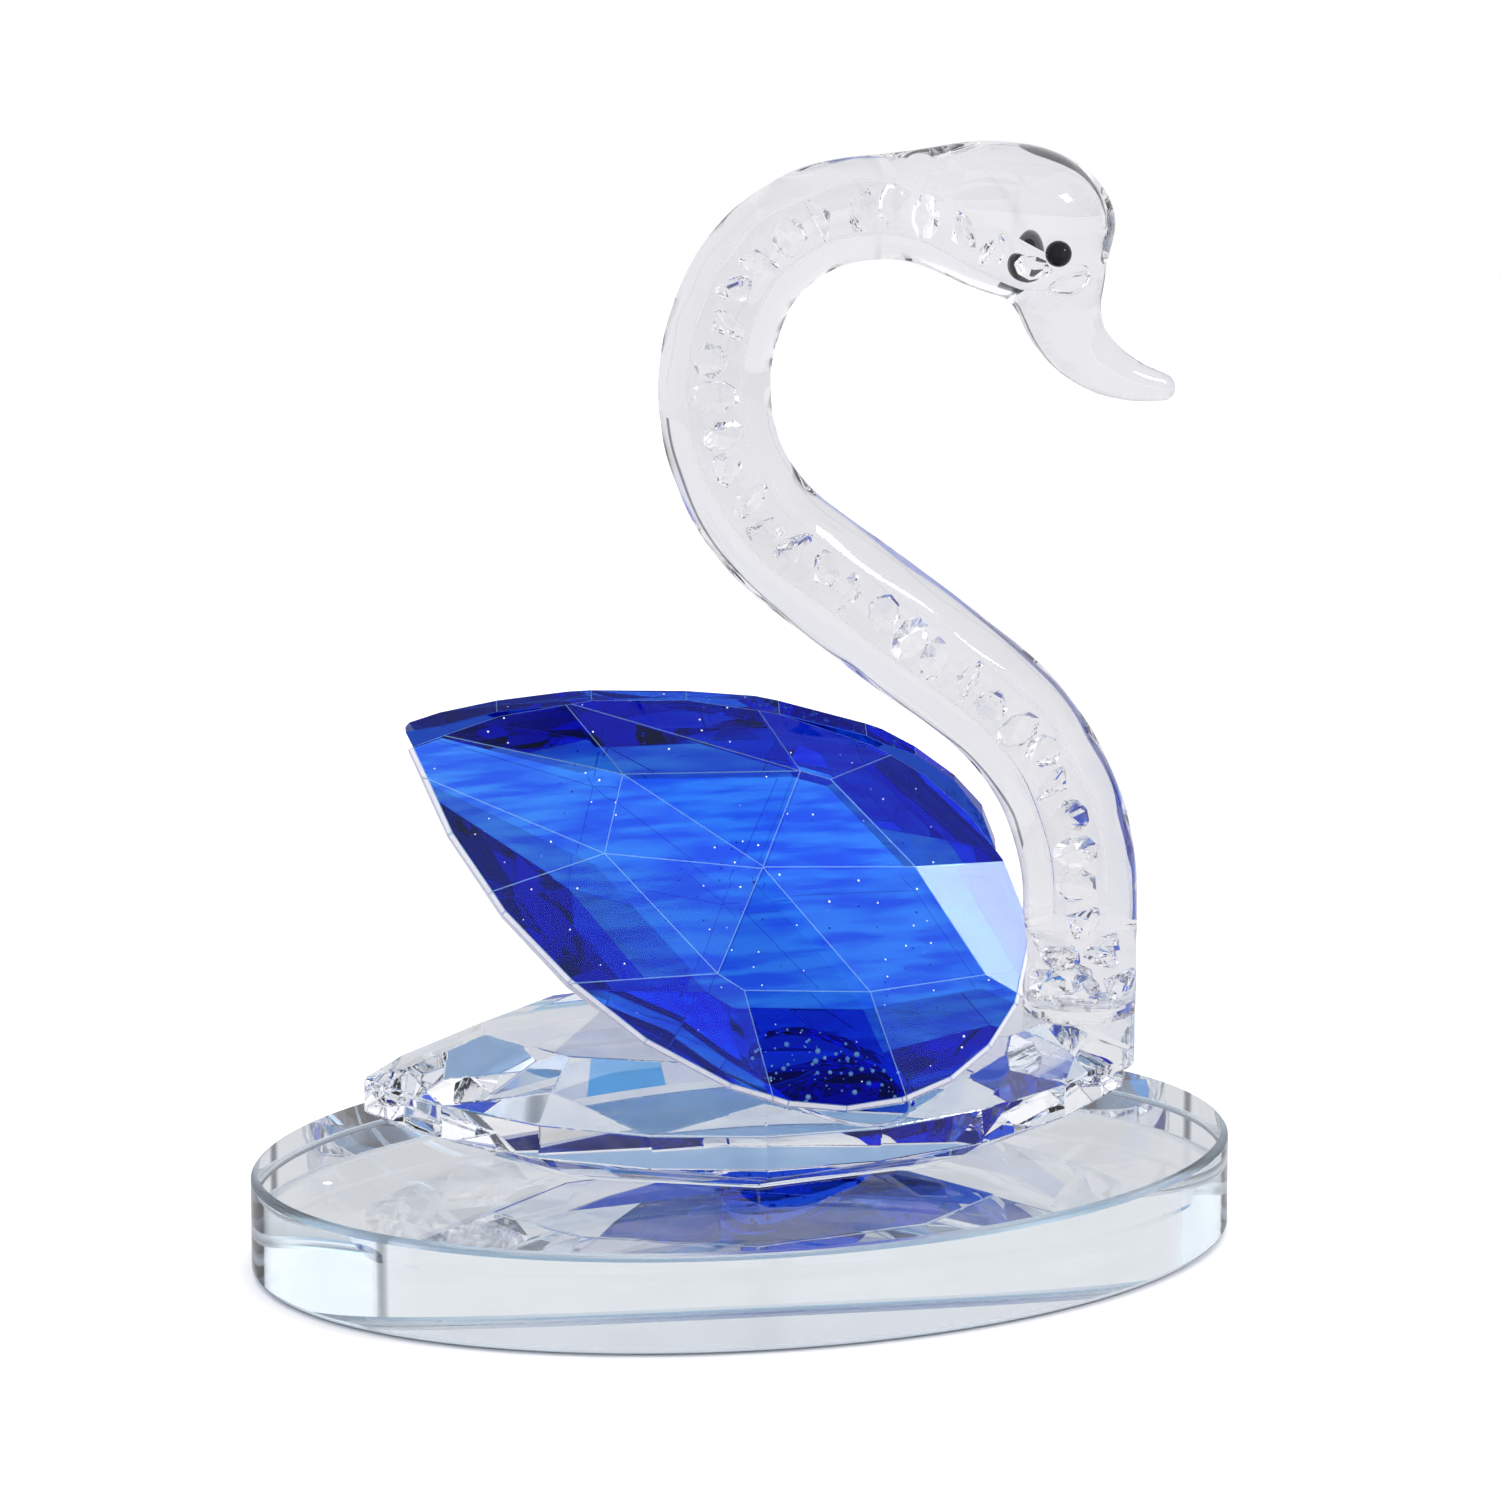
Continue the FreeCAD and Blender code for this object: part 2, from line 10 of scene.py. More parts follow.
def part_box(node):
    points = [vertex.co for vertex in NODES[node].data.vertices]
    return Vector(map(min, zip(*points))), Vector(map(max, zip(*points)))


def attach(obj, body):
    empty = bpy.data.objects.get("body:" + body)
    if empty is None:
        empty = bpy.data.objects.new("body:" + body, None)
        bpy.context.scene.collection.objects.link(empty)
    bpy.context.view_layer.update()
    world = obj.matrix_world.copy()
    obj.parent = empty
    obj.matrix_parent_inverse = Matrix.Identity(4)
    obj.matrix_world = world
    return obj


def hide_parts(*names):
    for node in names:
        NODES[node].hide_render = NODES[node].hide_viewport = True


# A crystal swan on an oval glass plate. CAD holds the pieces and their sizes; this script
# gives them polished edges, one smooth skin of blown glass from the neck to the beak, bubbles,
# glue and glass materials. Lengths are metres unless a name ends in _MM.

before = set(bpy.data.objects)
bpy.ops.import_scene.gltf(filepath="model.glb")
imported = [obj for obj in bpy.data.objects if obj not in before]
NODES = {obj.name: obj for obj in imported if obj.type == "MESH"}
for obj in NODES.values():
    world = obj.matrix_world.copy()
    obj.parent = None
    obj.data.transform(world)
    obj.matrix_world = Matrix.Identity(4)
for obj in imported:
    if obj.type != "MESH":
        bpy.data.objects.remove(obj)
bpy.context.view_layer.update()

MM = 0.001
SEED = 7
SIDES = {"right": -1, "left": 1}
PLATE_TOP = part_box("base_plate")[1].z
SWAN_YAW = math.radians(-6.8)
SWAN = Matrix.Translation((0, 0, PLATE_TOP)) @ Matrix.Rotation(SWAN_YAW, 4, "Z")


# ---------------------------------------------------------------- node tree helpers

CLEAR = (1.0, 1.0, 1.0, 1)
CLOUDED = (0.95, 0.96, 0.98, 1)
GLUE_WAVER = 0.5  # how far a glue patch's outline strays, as a share of its reach
SPECK_COLOUR = (0.85, 0.9, 1.0, 1)
SPECK_SIZE = 0.11  # share of the distance between specks
SMEAR_BEGINS = 0.6  # the noise at which polished glass begins to look smeared
SMEAR_FULL = 0.9
LOW_SHADE = 0.97  # how dark a tint's darker shade is, unless one is given
MIX_FIRST = 6  # where a Mix node keeps its two colours and its result
MIX_SECOND = 7
MIX_RESULT = 2


def new_material(name):
    """An empty node material and its tree."""
    material = bpy.data.materials.new(name)
    material.use_nodes = True
    material.node_tree.nodes.clear()
    return material, material.node_tree


def add(tree, kind, **sockets):
    """A node with some of its sockets or properties set."""
    node = tree.nodes.new(kind)
    for name, value in sockets.items():
        if name in node.inputs:
            node.inputs[name].default_value = value
        else:
            setattr(node, name, value)
    return node


def noise(tree, scale, detail=3.0, stretch=(1, 1, 1)):
    """Object-space noise, its pattern stretched by the given factors."""
    place = tree.nodes.new("ShaderNodeTexCoord")
    mapping = tree.nodes.new("ShaderNodeMapping")
    mapping.inputs["Scale"].default_value = stretch
    tree.links.new(place.outputs["Object"], mapping.inputs["Vector"])
    texture = add(tree, "ShaderNodeTexNoise", Scale=scale, Detail=detail)
    tree.links.new(mapping.outputs["Vector"], texture.inputs["Vector"])
    return texture


def ramp(tree, source, stops):
    """A colour ramp from (position, colour) stops."""
    node = tree.nodes.new("ShaderNodeValToRGB")
    elements = node.color_ramp.elements
    for index, (position, colour) in enumerate(stops):
        element = elements[index] if index < 2 else elements.new(position)
        element.position = position
        element.color = colour
    tree.links.new(source, node.inputs["Fac"])
    return node


def number(tree, operation, first, second=None):
    """The output of a Math node whose inputs are sockets or plain numbers."""
    node = add(tree, "ShaderNodeMath", operation=operation)
    for socket, value in zip(node.inputs, (first, second)):
        if isinstance(value, (int, float)):
            socket.default_value = value
        elif value is not None:
            tree.links.new(value, socket)
    return node.outputs["Value"]


def column_mask(tree, centre, along, across):
    """1 inside a wavy-edged elliptical column, 0 outside; the two vectors reach to its rim."""
    place = tree.nodes.new("ShaderNodeTexCoord")
    offset = add(tree, "ShaderNodeVectorMath", operation="SUBTRACT")
    tree.links.new(place.outputs["Object"], offset.inputs[0])
    offset.inputs[1].default_value = centre
    squares = []
    for reach in (along, across):
        dot = add(tree, "ShaderNodeVectorMath", operation="DOT_PRODUCT")
        tree.links.new(offset.outputs["Vector"], dot.inputs[0])
        dot.inputs[1].default_value = reach / reach.length_squared
        squares.append(number(tree, "MULTIPLY", dot.outputs["Value"], dot.outputs["Value"]))
    waver = number(tree, "MULTIPLY", noise(tree, 260.0, 1.0).outputs["Fac"], GLUE_WAVER)
    total = number(tree, "ADD", number(tree, "ADD", *squares), waver)
    return number(tree, "LESS_THAN", total, 1.0 + GLUE_WAVER / 2)


def mixed(tree, mask, below, above):
    """Shader above where the mask is 1, shader below elsewhere."""
    mix = tree.nodes.new("ShaderNodeMixShader")
    tree.links.new(mask, mix.inputs["Fac"])
    tree.links.new(below, mix.inputs[1])
    tree.links.new(above, mix.inputs[2])
    return mix.outputs["Shader"]


def colour_mix(tree, mode, share, first, second):
    """The colour that a Mix node makes of two inputs, each a socket or a plain colour."""
    mix = add(tree, "ShaderNodeMix", data_type="RGBA", blend_type=mode)
    for place, value in (("Factor", share), (MIX_FIRST, first), (MIX_SECOND, second)):
        if isinstance(value, (float, tuple)):
            mix.inputs[place].default_value = value
        else:
            tree.links.new(value, mix.inputs[place])
    return mix.outputs[MIX_RESULT]


def uneven_roughness(tree, ground, frost):
    """A roughness of ground in most places, and up to frost where the glass is smeared."""
    smears = noise(tree, 45.0, 5.0, (1, 1, 3))
    roughness = tree.nodes.new("ShaderNodeMapRange")
    roughness.inputs["From Min"].default_value = SMEAR_BEGINS
    roughness.inputs["From Max"].default_value = SMEAR_FULL
    roughness.inputs["To Min"].default_value = ground
    roughness.inputs["To Max"].default_value = frost
    tree.links.new(smears.outputs["Fac"], roughness.inputs["Value"])
    return roughness.outputs["Result"]


def specked(tree, shown, scale):
    """A shader with fine pale specks over it."""
    place = tree.nodes.new("ShaderNodeTexCoord")
    cells = add(tree, "ShaderNodeTexVoronoi", Scale=scale)
    tree.links.new(place.outputs["Object"], cells.inputs["Vector"])
    reach = number(tree, "MULTIPLY", noise(tree, 70.0).outputs["Fac"], SPECK_SIZE)
    dot = number(tree, "LESS_THAN", cells.outputs["Distance"], reach)
    dust = add(tree, "ShaderNodeBsdfDiffuse", Color=SPECK_COLOUR, Roughness=1.0)
    return mixed(tree, dot, shown, dust.outputs["BSDF"])


def finished(tree, shown, absorb=None, density=0.0):
    """Send a shader to the output, with glass that colours light by depth if absorb is given."""
    output = tree.nodes.new("ShaderNodeOutputMaterial")
    tree.links.new(shown, output.inputs["Surface"])
    if absorb:
        volume = add(tree, "ShaderNodeVolumeAbsorption", Color=absorb, Density=density)
        tree.links.new(volume.outputs["Volume"], output.inputs["Volume"])


def glass_material(name, tint, ior, wave_height, wave_scale, absorb=None, density=0.0, mirror=0.0,
                   streaks=(1, 1, 1), low=None, columns=(), through=CLEAR, specks=0.0,
                   frost=0.02, ground=0.0, outside=None, shine=CLEAR):
    """Polished glass: slightly uneven surface, faint smears, and colour that deepens with depth.

    low is the tint's darker shade. mirror makes the face a reflecting coat, and outside is the
    coat's colour from outside the piece. In columns, light goes straight through into glue.
    """
    material, tree = new_material(name)
    surface = add(tree, "ShaderNodeBsdfPrincipled", IOR=ior)
    surface.inputs["Transmission Weight"].default_value = 1.0
    surface.inputs["Metallic"].default_value = mirror
    surface.inputs["Specular Tint"].default_value = shine
    variation = noise(tree, 90.0, 4.0, streaks)
    low = low or tuple(c * LOW_SHADE for c in tint[:3]) + (1,)
    colours = ramp(tree, variation.outputs["Fac"], ((0.4, low), (0.6, tint)))
    shade = colours.outputs["Color"]
    if outside:
        facing = tree.nodes.new("ShaderNodeNewGeometry")
        shade = colour_mix(tree, "MIX", facing.outputs["Backfacing"], outside, shade)
    tree.links.new(shade, surface.inputs["Base Color"])
    tree.links.new(uneven_roughness(tree, ground, frost), surface.inputs["Roughness"])
    waves = noise(tree, wave_scale, 1.0)
    bump = add(tree, "ShaderNodeBump", Strength=1.0, Distance=wave_height)
    tree.links.new(waves.outputs["Fac"], bump.inputs["Height"])
    tree.links.new(bump.outputs["Normal"], surface.inputs["Normal"])
    shown = surface.outputs["BSDF"]
    for column in columns:
        clear = add(tree, "ShaderNodeBsdfTransparent", Color=through)
        shown = mixed(tree, column_mask(tree, *column), shown, clear.outputs["BSDF"])
    if specks:
        shown = specked(tree, shown, specks)
    finished(tree, shown, absorb, density)
    return material


def contact_material(name, absorb=None, density=0.0):
    """Where glue joins two pieces of glass: light goes straight through, a little tinted."""
    material, tree = new_material(name)
    clear = tree.nodes.new("ShaderNodeBsdfTransparent")
    cloud = noise(tree, 120.0)
    colours = ramp(tree, cloud.outputs["Fac"], ((0.3, CLOUDED), (0.7, CLEAR)))
    tree.links.new(colours.outputs["Color"], clear.inputs["Color"])
    finished(tree, clear.outputs["BSDF"], absorb, density)
    return material


def solid_material(name, light, dark, roughness, scale, ior=1.5):
    """An opaque glossy material with a faint variation of colour."""
    material, tree = new_material(name)
    surface = add(tree, "ShaderNodeBsdfPrincipled", Roughness=roughness, IOR=ior)
    mottle = noise(tree, scale)
    colours = ramp(tree, mottle.outputs["Fac"], ((0.3, dark), (0.7, light)))
    tree.links.new(colours.outputs["Color"], surface.inputs["Base Color"])
    finished(tree, surface.outputs["BSDF"])
    return material


# ---------------------------------------------------------------- mesh helpers

SAME_PLACE = 0.005 * MM  # vertices this near are one
SAME_PLANE = math.radians(0.6)  # faces this near to flat are one facet
EDGE_SLOT = 1
COAT_SLOT = 2
RIM_SLOT = 3
RIM_WIDTH = 0.5 * MM
EDGE_EASE = 0.14 * MM
GLUE_GAP = 0.03 * MM
# A wing's girdle is square with its outward direction, to within GIRDLE_FACING. Its facets
# face outward or inward by more than FACET_FACING.
GIRDLE_FACING = 0.05
FACET_FACING = 0.3


def new_piece(name, mesh, materials, *replaced, slot=None):
    """A shown piece that rides on the one body and stands for some CAD nodes."""
    piece = bpy.data.objects.new(name, mesh)
    bpy.context.scene.collection.objects.link(piece)
    for material in materials:
        mesh.materials.append(material)
    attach(piece, "root")
    if replaced:
        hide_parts(*replaced)


def smooth_but_for(mesh, degrees):
    """Smooth shading, with edges sharper than an angle kept sharp."""
    mesh.polygons.foreach_set("use_smooth", [True] * len(mesh.polygons))
    mesh.set_sharp_from_angle(angle=math.radians(degrees))


def lower_front_edges(bm, outward):
    """The edges where a wing's front facets meet the underside of its girdle."""
    found = []
    for edge in bm.edges:
        facing = [face.normal.dot(outward) for face in edge.link_faces]
        girdle = edge.link_faces[facing.index(min(facing))]
        if abs(min(facing)) < GIRDLE_FACING and max(facing) > FACET_FACING and girdle.normal.z < 0:
            found.append(edge)
    return found


def polished_copy(node, outward=None):
    """A CAD stone's mesh with its facets whole and its edges eased; outward is set on a wing."""
    bm = bmesh.new()
    bm.from_mesh(NODES[node].data)
    bmesh.ops.remove_doubles(bm, verts=bm.verts, dist=SAME_PLACE)
    bmesh.ops.dissolve_limit(bm, angle_limit=SAME_PLANE, verts=bm.verts, edges=bm.edges)
    if outward:
        bm.normal_update()
        rim = lower_front_edges(bm, outward)
        bmesh.ops.bevel(bm, geom=rim, offset=RIM_WIDTH, segments=1, profile=0.5, affect="EDGES",
                        clamp_overlap=True, material=RIM_SLOT)
    bmesh.ops.bevel(bm, geom=bm.edges[:], offset=EDGE_EASE, segments=2, profile=0.5,
                    affect="EDGES", clamp_overlap=True, material=EDGE_SLOT)
    bmesh.ops.recalc_face_normals(bm, faces=bm.faces)
    mesh = bpy.data.meshes.new(node)
    bm.to_mesh(mesh)
    bm.free()
    return mesh


def drawn_in(node):
    """Set glue's mesh, moved in along its normals so that it doesn't touch its neighbours."""
    bm = bmesh.new()
    bm.from_mesh(NODES[node].data)
    bmesh.ops.remove_doubles(bm, verts=bm.verts, dist=SAME_PLACE)
    bm.normal_update()
    moves = [(v, v.normal * v.calc_shell_factor()) for v in bm.verts]
    for v, move in moves:
        v.co -= move * GLUE_GAP
    mesh = bpy.data.meshes.new(node)
    bm.to_mesh(mesh)
    bm.free()
    return mesh


def turn_some_faces(mesh, slot, chosen):
    """Give the faces that pass a test another material."""
    for face in mesh.polygons:
        if chosen(face):
            face.material_index = slot


# ---------------------------------------------------------------- base plate

PLATE_SIDES = 360
PLATE_SOFT_ANGLE = 12  # degrees
PLATE_WALL_SLOT = 0
PLATE_MIRROR_SLOT = 1
PLATE_GLUE_SLOT = 2
PLATE_RIM_SLOT = 3
FILM_TOUCH = 0.05 * MM  # the glue film's outline is taken from its vertices this near the plate
PATCH_STEP = 0.01 * MM
PLATE_BEVEL_MM = ((0.8, 0.0), (0.45, 0.22), (0.22, 0.45), (0.0, 0.8))  # inset and drop


def plate_mesh():
    """The oval plate: flat faces, an upright wall and softened bevels."""
    long_half, short_half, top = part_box("base_plate")[1]
    rings = [(inset * MM, top - drop * MM) for inset, drop in PLATE_BEVEL_MM]
    rings += [(inset, top - z) for inset, z in reversed(rings)]
    bm = bmesh.new()
    loops = []
    for inset, z in rings:
        loop = []
        for k in range(PLATE_SIDES):
            turn = 2 * math.pi * k / PLATE_SIDES
            x, y = long_half * math.cos(turn), short_half * math.sin(turn)
            normal = Vector((x / long_half**2, y / short_half**2)).normalized()
            loop.append(bm.verts.new((x - normal.x * inset, y - normal.y * inset, z)))
        loops.append(loop)
    for index, (upper, lower) in enumerate(zip(loops, loops[1:])):
        slot = PLATE_WALL_SLOT if index == len(PLATE_BEVEL_MM) - 1 else PLATE_RIM_SLOT
        for k in range(PLATE_SIDES):
            after = (k + 1) % PLATE_SIDES
            side = bm.faces.new((upper[k], lower[k], lower[after], upper[after]))
            side.material_index = slot
    film = [v.co.copy() for v in NODES["body_glue"].data.vertices if v.co.z < top + FILM_TOUCH]
    middle = sum(film, Vector()) / len(film)
    film.sort(key=lambda p: math.atan2(p.y - middle.y, p.x - middle.x))
    patch = []
    for corner in film:
        if not patch or (corner - patch[-1].co).xy.length > PATCH_STEP:
            patch.append(bm.verts.new((corner.x, corner.y, top)))
    if (patch[0].co - patch[-1].co).length < PATCH_STEP:
        bm.verts.remove(patch.pop())
    contact = bm.faces.new(patch)
    contact.material_index = PLATE_GLUE_SLOT
    underside = bm.faces.new(list(reversed(loops[-1])))
    underside.material_index = PLATE_MIRROR_SLOT
    rim = [bm.edges.get((a, b)) for a, b in zip(loops[0], loops[0][1:] + loops[0][:1])]
    bmesh.ops.triangle_fill(bm, edges=rim + list(contact.edges), use_beauty=True)
    bmesh.ops.recalc_face_normals(bm, faces=bm.faces)
    mesh = bpy.data.meshes.new("base_plate")
    bm.to_mesh(mesh)
    bm.free()
    smooth_but_for(mesh, PLATE_SOFT_ANGLE)
    return mesh


# ---------------------------------------------------------------- blown glass neck

# Points and distances in this section are millimetres in the swan's own frame, until neck_mesh
# scales the finished skin and sets it on the plate.

NECK_FOOT_MM = (39.1, 15.5)
# A straight run is its length. A bend is its radius and how many degrees it turns to the left.
NECK_RUNS_MM = ((13.3,), (33.6, 51.4), (25.7,), (25.3, -79.3), (16.3, -47.6), (20.6, -40.5), (13.0,))
# Share of the neck's length, and the tube's outer radius there.
NECK_RADII_MM = ((0.0, 6.55), (0.2, 6.7), (0.4, 7.0), (0.6, 6.4), (0.8, 6.0), (0.93, 5.75), (1.0, 5.1))
BORE_MM = 2.15
CUP_MM = 5.1
CUP_DEPTH_MM = 9.4
BORE_END_WALL_MM = 2.4
HEAD_CENTRE_MM = (31.4, 0.0, 110.2)
HEAD_NOD = math.radians(-12.8)
HEAD_FRONT_MM = 11.1
HEAD_RADIUS_MM = 8.05
HEAD_BACK_ARC_MM = 26.0
BEAK_MM = (  # X, Z and radius along the beak's middle
    (35.6, 101.6, 5.0),
    (36.5, 98.2, 4.45),
    (38.0, 95.1, 3.75),
    (40.9, 92.3, 3.1),
    (44.4, 90.5, 2.35),
    (47.9, 89.6, 1.6),
)
BEAK_STEPS = 12
BEAK_REACH_MM = 12.0  # further behind the beak than this, it doesn't matter to the skin
HEAD_FILLET_MM = 2.4
BEAK_FILLET_MM = 1.8
FOOT_EDGE_MM = 0.5
FOOT_OVERRUN_MM = 4.0  # the tube runs on below its foot, where a plane cuts it off
GRID_MM = 0.5
GRID_LOW_MM = (-12.0, -9.6, NECK_FOOT_MM[1] - 1.2)
GRID_HIGH_MM = (51.0, 9.6, 121.0)
SKIN_PASSES = 3
SLOPE_STEP_MM = 0.02
LEAST_STEEPNESS = 0.2  # a slope squared below this would throw a point too far
BORE_TOUCH_MM = 0.02
FLOW_MM = 0.035  # how uneven the blown surface is, in waves 5 to 10 mm long
FAR_MM = 1e9


def neck_pieces():
    """The centre line's straight runs and bends as (start, heading, bend, length, distance)."""
    pieces = []
    place, heading, gone = np.array(NECK_FOOT_MM), math.pi / 2, 0.0
    for run in NECK_RUNS_MM:
        turn = 0.0 if len(run) == 1 else math.radians(run[1])
        length = run[0] if turn == 0 else run[0] * abs(turn)
        bend = turn / length
        pieces.append((place, heading, bend, length, gone))
        if bend == 0:
            place = place + np.array((math.cos(heading), math.sin(heading))) * length
        else:
            end = heading + turn
            across, rise = math.sin(end) - math.sin(heading), math.cos(heading) - math.cos(end)
            place = place + np.array((across, rise)) / bend
            heading = end
        gone += length
    return pieces, gone


NECK_PIECES, NECK_LENGTH = neck_pieces()


def line_distance(points):
    """Distance to the neck's centre line and how far along it, for many points at once."""
    best = np.full(len(points), FAR_MM)
    along = np.zeros(len(points))
    flat = points[:, (0, 2)]
    for index, (start, heading, bend, length, gone) in enumerate(NECK_PIECES):
        forward = np.array((math.cos(heading), math.sin(heading)))
        left = np.array((-forward[1], forward[0]))
        before = FOOT_OVERRUN_MM if index == 0 else 0.0
        offset = flat - start
        if bend == 0:
            travel = np.clip(offset @ forward, -before, length)
            nearest = start + travel[:, None] * forward
        else:
            centre = start + left / bend
            arm = flat - centre
            turn = np.arctan2(arm @ forward, -arm @ left * np.sign(bend))
            travel = np.clip(turn / abs(bend), 0, length)
            angle = travel * bend
            nearest = centre + (np.outer(np.sin(angle), forward) - np.outer(np.cos(angle), left)) / bend
        gap = np.sqrt(((flat - nearest) ** 2).sum(1) + points[:, 1] ** 2)
        closer = gap < best
        best[closer] = gap[closer]
        along[closer] = gone + travel[closer]
    return best, along


def tube_radius(along):
    """The tube's outer radius at distances along the neck."""
    share = np.clip(along / NECK_LENGTH, 0, 1)
    radius = np.full(len(share), NECK_RADII_MM[-1][1])
    for (s0, r0), (s1, r1) in zip(NECK_RADII_MM, NECK_RADII_MM[1:]):
        blend = np.clip((share - s0) / (s1 - s0), 0, 1)
        smooth = blend * blend * (3 - 2 * blend)
        here = (share >= s0) & (share <= s1)
        radius[here] = (r0 + (r1 - r0) * smooth)[here]
    return radius


def joined(a, b, reach):
    """Two distance fields fused with a fillet."""
    blend = np.clip(0.5 + 0.5 * (b - a) / reach, 0, 1)
    return b + (a - b) * blend - reach * blend * (1 - blend)


def head_distance(points):
    """The egg of glass that makes the head: half an ellipsoid in front, a long arc behind."""
    offset = points - np.array(HEAD_CENTRE_MM)
    axis = np.array((math.cos(HEAD_NOD), 0, math.sin(HEAD_NOD)))
    forward = offset @ axis
    around = np.sqrt(np.maximum((offset**2).sum(1) - forward**2, 1e-9))
    scaled = np.sqrt((forward / HEAD_FRONT_MM) ** 2 + (around / HEAD_RADIUS_MM) ** 2)
    slope = np.sqrt((forward / HEAD_FRONT_MM**2) ** 2 + (around / HEAD_RADIUS_MM**2) ** 2)
    front = scaled * (scaled - 1) / np.maximum(slope, 1e-6)
    drop = HEAD_BACK_ARC_MM - HEAD_RADIUS_MM
    back = np.sqrt(forward**2 + (around + drop) ** 2) - HEAD_BACK_ARC_MM
    return np.where(forward > 0, front, back)


def smooth_path(knots, count):
    """Points on a Catmull-Rom curve through some knots."""
    knots = np.array(knots)
    ends = np.vstack((2 * knots[0] - knots[1], knots, 2 * knots[-1] - knots[-2]))
    rows = []
    for k in range(len(knots) - 1):
        p0, p1, p2, p3 = ends[k : k + 4]
        for t in np.linspace(0, 1, count, endpoint=False):
            rows.append(0.5 * (2 * p1 + (p2 - p0) * t + (2 * p0 - 5 * p1 + 4 * p2 - p3) * t**2
                               + (3 * p1 - p0 - 3 * p2 + p3) * t**3))
    rows.append(knots[-1])
    return np.array(rows)


BEAK_PATH = smooth_path(BEAK_MM, BEAK_STEPS)


def beak_distance(points):
    """The drawn-out beak: cones from one point of its middle line to the next."""
    best = np.full(len(points), FAR_MM)
    near = points[:, 0] > BEAK_PATH[:, 0].min() - BEAK_REACH_MM
    close = points[near]
    result = np.full(len(close), FAR_MM)
    for (x0, z0, r0), (x1, z1, r1) in zip(BEAK_PATH, BEAK_PATH[1:]):
        start, run = np.array((x0, 0, z0)), np.array((x1 - x0, 0, z1 - z0))
        share = np.clip((close - start) @ run / (run @ run), 0, 1)
        gap = np.sqrt(((close - start - share[:, None] * run) ** 2).sum(1))
        result = np.minimum(result, gap - (r0 + (r1 - r0) * share))
    best[near] = result
    return best


def bore_distance(points):
    """The space inside the neck: a wide cup at the foot and a narrow bore above it."""
    gap, along = line_distance(points)
    shoulder = CUP_MM - BORE_MM
    share = np.clip((along - CUP_DEPTH_MM) / shoulder, 0, 1)
    radius = CUP_MM - shoulder * share * share * (3 - 2 * share)
    start, heading, _, _, gone = NECK_PIECES[-1]
    last = np.array((start[0], 0, start[1]))
    forward = np.array((math.cos(heading), 0, math.sin(heading)))
    end = NECK_LENGTH + NECK_RADII_MM[-1][1] - BORE_END_WALL_MM
    travel = np.clip((points - last) @ forward, 0, end - gone - BORE_MM)
    tip = np.sqrt(((points - last - travel[:, None] * forward) ** 2).sum(1)) - BORE_MM
    return np.minimum(gap - radius, tip)


def glass_distance(points):
    """Below zero inside the glass of the neck, the head and the beak."""
    gap, along = line_distance(points)
    x, y, z = points.T
    flow = np.sin(x * 0.55 + z * 0.31) * np.cos(z * 0.47 - y * 0.6) + np.sin(z * 0.83 + x * 0.2 + y)
    outside = gap - tube_radius(along) + FLOW_MM * flow
    outside = joined(outside, head_distance(points), HEAD_FILLET_MM)
    outside = joined(outside, beak_distance(points), BEAK_FILLET_MM)
    outside = -joined(-outside, points[:, 2] - NECK_FOOT_MM[1], FOOT_EDGE_MM)
    return np.maximum(outside, -bore_distance(points))


CELL_CORNERS = [(i, j, k) for i in (0, 1) for j in (0, 1) for k in (0, 1)]


def sampled(distance, low, counts, step):
    """A distance field's values on a grid of points."""
    axes = [a + step * np.arange(n) for a, n in zip(low, counts)]
    field = np.empty(counts)
    grid = np.stack(np.meshgrid(axes[1], axes[2], indexing="ij"), -1).reshape(-1, 2)
    for i, x in enumerate(axes[0]):
        points = np.column_stack((np.full(len(grid), x), grid))
        field[i] = distance(points).reshape(counts[1:])
    return field


def crossings(field, cells):
    """Where in each cell the surface is: the middle of its crossings with the cell's edges."""
    place = np.zeros((len(cells), 3))
    hits = np.zeros(len(cells))
    for a in range(3):
        for corner in CELL_CORNERS:
            if corner[a]:
                continue
            other = list(corner)
            other[a] = 1
            first = field[tuple((cells + corner).T)]
            second = field[tuple((cells + other).T)]
            crossed = (first < 0) != (second < 0)
            share = np.zeros(len(cells))
            share[crossed] = first[crossed] / (first[crossed] - second[crossed])
            where = np.array(corner, float) + np.outer(share, np.eye(3)[a])
            place[crossed] += where[crossed]
            hits += crossed
    return place / hits[:, None]


def net_quads(inside, numbering):
    """A quad across each grid edge with one end inside, facing outwards."""
    span = numbering.shape
    quads = []
    for a in range(3):
        b, c = (a + 1) % 3, (a + 2) % 3
        stop = np.array(inside.shape)
        stop[a] -= 1
        first = inside[: stop[0], : stop[1], : stop[2]]
        shift = np.roll(inside, -1, axis=a)[: stop[0], : stop[1], : stop[2]]
        for found, flip in ((first & ~shift, False), (~first & shift, True)):
            edges = np.argwhere(found)
            edges = edges[(edges[:, b] > 0) & (edges[:, c] > 0)]
            edges = edges[(edges[:, b] < span[b]) & (edges[:, c] < span[c])]
            unit_b, unit_c = np.eye(3, dtype=int)[b], np.eye(3, dtype=int)[c]
            ring = [edges, edges - unit_b, edges - unit_b - unit_c, edges - unit_c]
            quad = np.stack([numbering[tuple(r.T)] for r in ring], 1)
            quads.append(quad[:, ::-1] if flip else quad)
    return np.vstack(quads)


